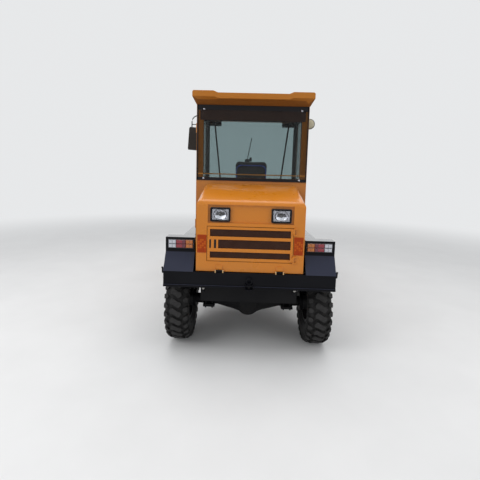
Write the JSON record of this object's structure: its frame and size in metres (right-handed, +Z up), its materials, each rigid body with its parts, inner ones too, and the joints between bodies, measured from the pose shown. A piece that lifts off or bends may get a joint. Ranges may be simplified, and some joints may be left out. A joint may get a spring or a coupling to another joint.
{
  "type": "articulated site dumper",
  "caption": "Articulated site dumper with engine and glazed cab on the rear unit and a forward tipping skip on the front unit.",
  "frame": {"origin": "point on the ground below the middle of the machine", "axes": "+Y forward to the skip, +X to the machine's right, +Z up"},
  "size_m": [1.879, 3.96, 2.668],
  "materials": {
    "frame_black": "satin black paint",
    "trim_black": "gloss black paint",
    "cab_yellow": "gloss orange-yellow paint",
    "roof_yellow": "gloss orange-yellow moulding",
    "engine_grey": "painted casting",
    "floor_grey": "rubber mat",
    "mesh_black": "dark mesh",
    "lamp_lens": "three-colour lens",
    "headlamp": "black bezel with clear lens",
    "front_lamp": "black housing with clear and amber lenses",
    "reflector_red": "orange-red reflector",
    "glass": "tinted safety glass",
    "seat_fabric": "woven cover",
    "mirror_housing": "moulded",
    "ram_black": "black paint",
    "ram_rod": "hard chrome",
    "tyre": "worn rubber",
    "rim": "satin black paint"
  },
  "bodies": {
    "rear_unit": {"rear_frame": "frame_black", "bumper": "trim_black", "tow_jaw": "trim_black", "rear_fenders": "trim_black", "tail_lamps": "lamp_lens", "engine": "engine_grey", "radiator": "engine_grey", "cab_floor": "floor_grey", "cab_rear": "cab_yellow", "cab_front": "cab_yellow", "cab_side_right": "cab_yellow", "cab_roof": "roof_yellow", "cab_glass": "glass", "front_lamps": "front_lamp", "seat_base": "trim_black", "seat_cushion": "seat_fabric", "seat_back": "seat_fabric", "steering_column": "trim_black", "mirrors": "mirror_housing", "side_tanks": "trim_black", "rear_axle": "frame_black", "prop_shaft_rear": "frame_black"},
    "hood": {"hood": "cab_yellow", "headlamps": "headlamp", "side_reflectors": "reflector_red"},
    "grille_door": {"grille_door": "cab_yellow", "grille_mesh": "mesh_black"},
    "door_left": {"door_left": "cab_yellow", "door_glass": "glass"},
    "front_unit": {"front_frame": "frame_black", "front_axle": "frame_black", "prop_shaft_front": "frame_black"},
    "skip": {"skip": "cab_yellow"},
    "tip_ram_barrel": {"tip_barrel": "ram_black"},
    "tip_ram_rod": {"tip_rod": "ram_rod"},
    "steer_ram_right_barrel": {"steer_barrel_right": "ram_black"},
    "steer_ram_right_rod": {"steer_rod_right": "ram_rod"},
    "steer_ram_left_barrel": {"steer_barrel_left": "ram_black"},
    "steer_ram_left_rod": {"steer_rod_left": "ram_rod"},
    "wheel_rear_left": {"tyre_rear_left": "tyre", "rim_rear_left": "rim"},
    "wheel_rear_right": {"tyre_rear_right": "tyre", "rim_rear_right": "rim"},
    "wheel_front_left": {"tyre_front_left": "tyre", "rim_front_left": "rim"},
    "wheel_front_right": {"tyre_front_right": "tyre", "rim_front_right": "rim"}
  },
  "joints": [
    {"name": "wheel_rear_left_spin", "type": "hinge", "parent": "rear_unit", "child": "wheel_rear_left", "pos_m": [-0.7085, -1.4, 0.425], "axis": [1, 0, 0], "continuous": true},
    {"name": "wheel_rear_right_spin", "type": "hinge", "parent": "rear_unit", "child": "wheel_rear_right", "pos_m": [0.7085, -1.4, 0.425], "axis": [1, 0, 0], "continuous": true},
    {"name": "wheel_front_left_spin", "type": "hinge", "parent": "front_unit", "child": "wheel_front_left", "pos_m": [-0.7085, 0.65, 0.425], "axis": [1, 0, 0], "continuous": true},
    {"name": "wheel_front_right_spin", "type": "hinge", "parent": "front_unit", "child": "wheel_front_right", "pos_m": [0.7085, 0.65, 0.425], "axis": [1, 0, 0], "continuous": true},
    {"name": "steer", "type": "hinge", "parent": "rear_unit", "child": "front_unit", "pos_m": [0, -0.28, 0.6], "axis": [0, 0, 1], "range_deg": [-32, 32]},
    {"name": "tip", "type": "hinge", "parent": "front_unit", "child": "skip", "pos_m": [0, 1.03, 0.8], "axis": [-1, 0, 0], "range_deg": [0, 60]},
    {"name": "tip_ram_swing", "type": "hinge", "parent": "front_unit", "child": "tip_ram_barrel", "pos_m": [0, 0.38, 0.6], "axis": [-1, 0, 0], "range_deg": [-4.72, 0]},
    {"name": "tip_ram_stroke", "type": "slide", "parent": "tip_ram_barrel", "child": "tip_ram_rod", "axis": [0, 0.8192, 0.5735], "range_m": [0, 0.26105]},
    {"name": "steer_ram_right_swing", "type": "hinge", "parent": "rear_unit", "child": "steer_ram_right_barrel", "pos_m": [0.33, -0.72, 0.5], "axis": [0, 0, 1], "range_deg": [-5.04, 5.04]},
    {"name": "steer_ram_right_stroke", "type": "slide", "parent": "steer_ram_right_barrel", "child": "steer_ram_right_rod", "axis": [-0.2638, 0.9646, 0], "range_m": [-0.11302, 0.11302]},
    {"name": "steer_ram_left_swing", "type": "hinge", "parent": "rear_unit", "child": "steer_ram_left_barrel", "pos_m": [-0.33, -0.72, 0.5], "axis": [0, 0, 1], "range_deg": [-5.04, 5.04]},
    {"name": "steer_ram_left_stroke", "type": "slide", "parent": "steer_ram_left_barrel", "child": "steer_ram_left_rod", "axis": [0.2638, 0.9646, 0], "range_m": [-0.11302, 0.11302]},
    {"name": "hood_hinge", "type": "hinge", "parent": "rear_unit", "child": "hood", "pos_m": [0.28, -1.907, 0.885], "axis": [1, 0, 0], "range_deg": [0, 60]},
    {"name": "grille_door_hinge", "type": "hinge", "parent": "hood", "child": "grille_door", "pos_m": [0.4, -1.901, 1.135], "axis": [0, 0, 1], "range_deg": [0, 100]},
    {"name": "door_left_hinge", "type": "hinge", "parent": "rear_unit", "child": "door_left", "pos_m": [-0.637, -1.054, 1.75], "axis": [0, 0, 1], "range_deg": [0, 85]}
  ],
  "couplings": [
    {"joint": "tip_ram_swing", "follows": "tip", "ratio": -0.07716},
    {"joint": "tip_ram_stroke", "follows": "tip", "m_per_rad": 0.24439},
    {"joint": "steer_ram_right_swing", "follows": "steer", "ratio": 0.15431},
    {"joint": "steer_ram_right_stroke", "follows": "steer", "m_per_rad": 0.19839},
    {"joint": "steer_ram_left_swing", "follows": "steer", "ratio": 0.15431},
    {"joint": "steer_ram_left_stroke", "follows": "steer", "m_per_rad": -0.19839}
  ]
}
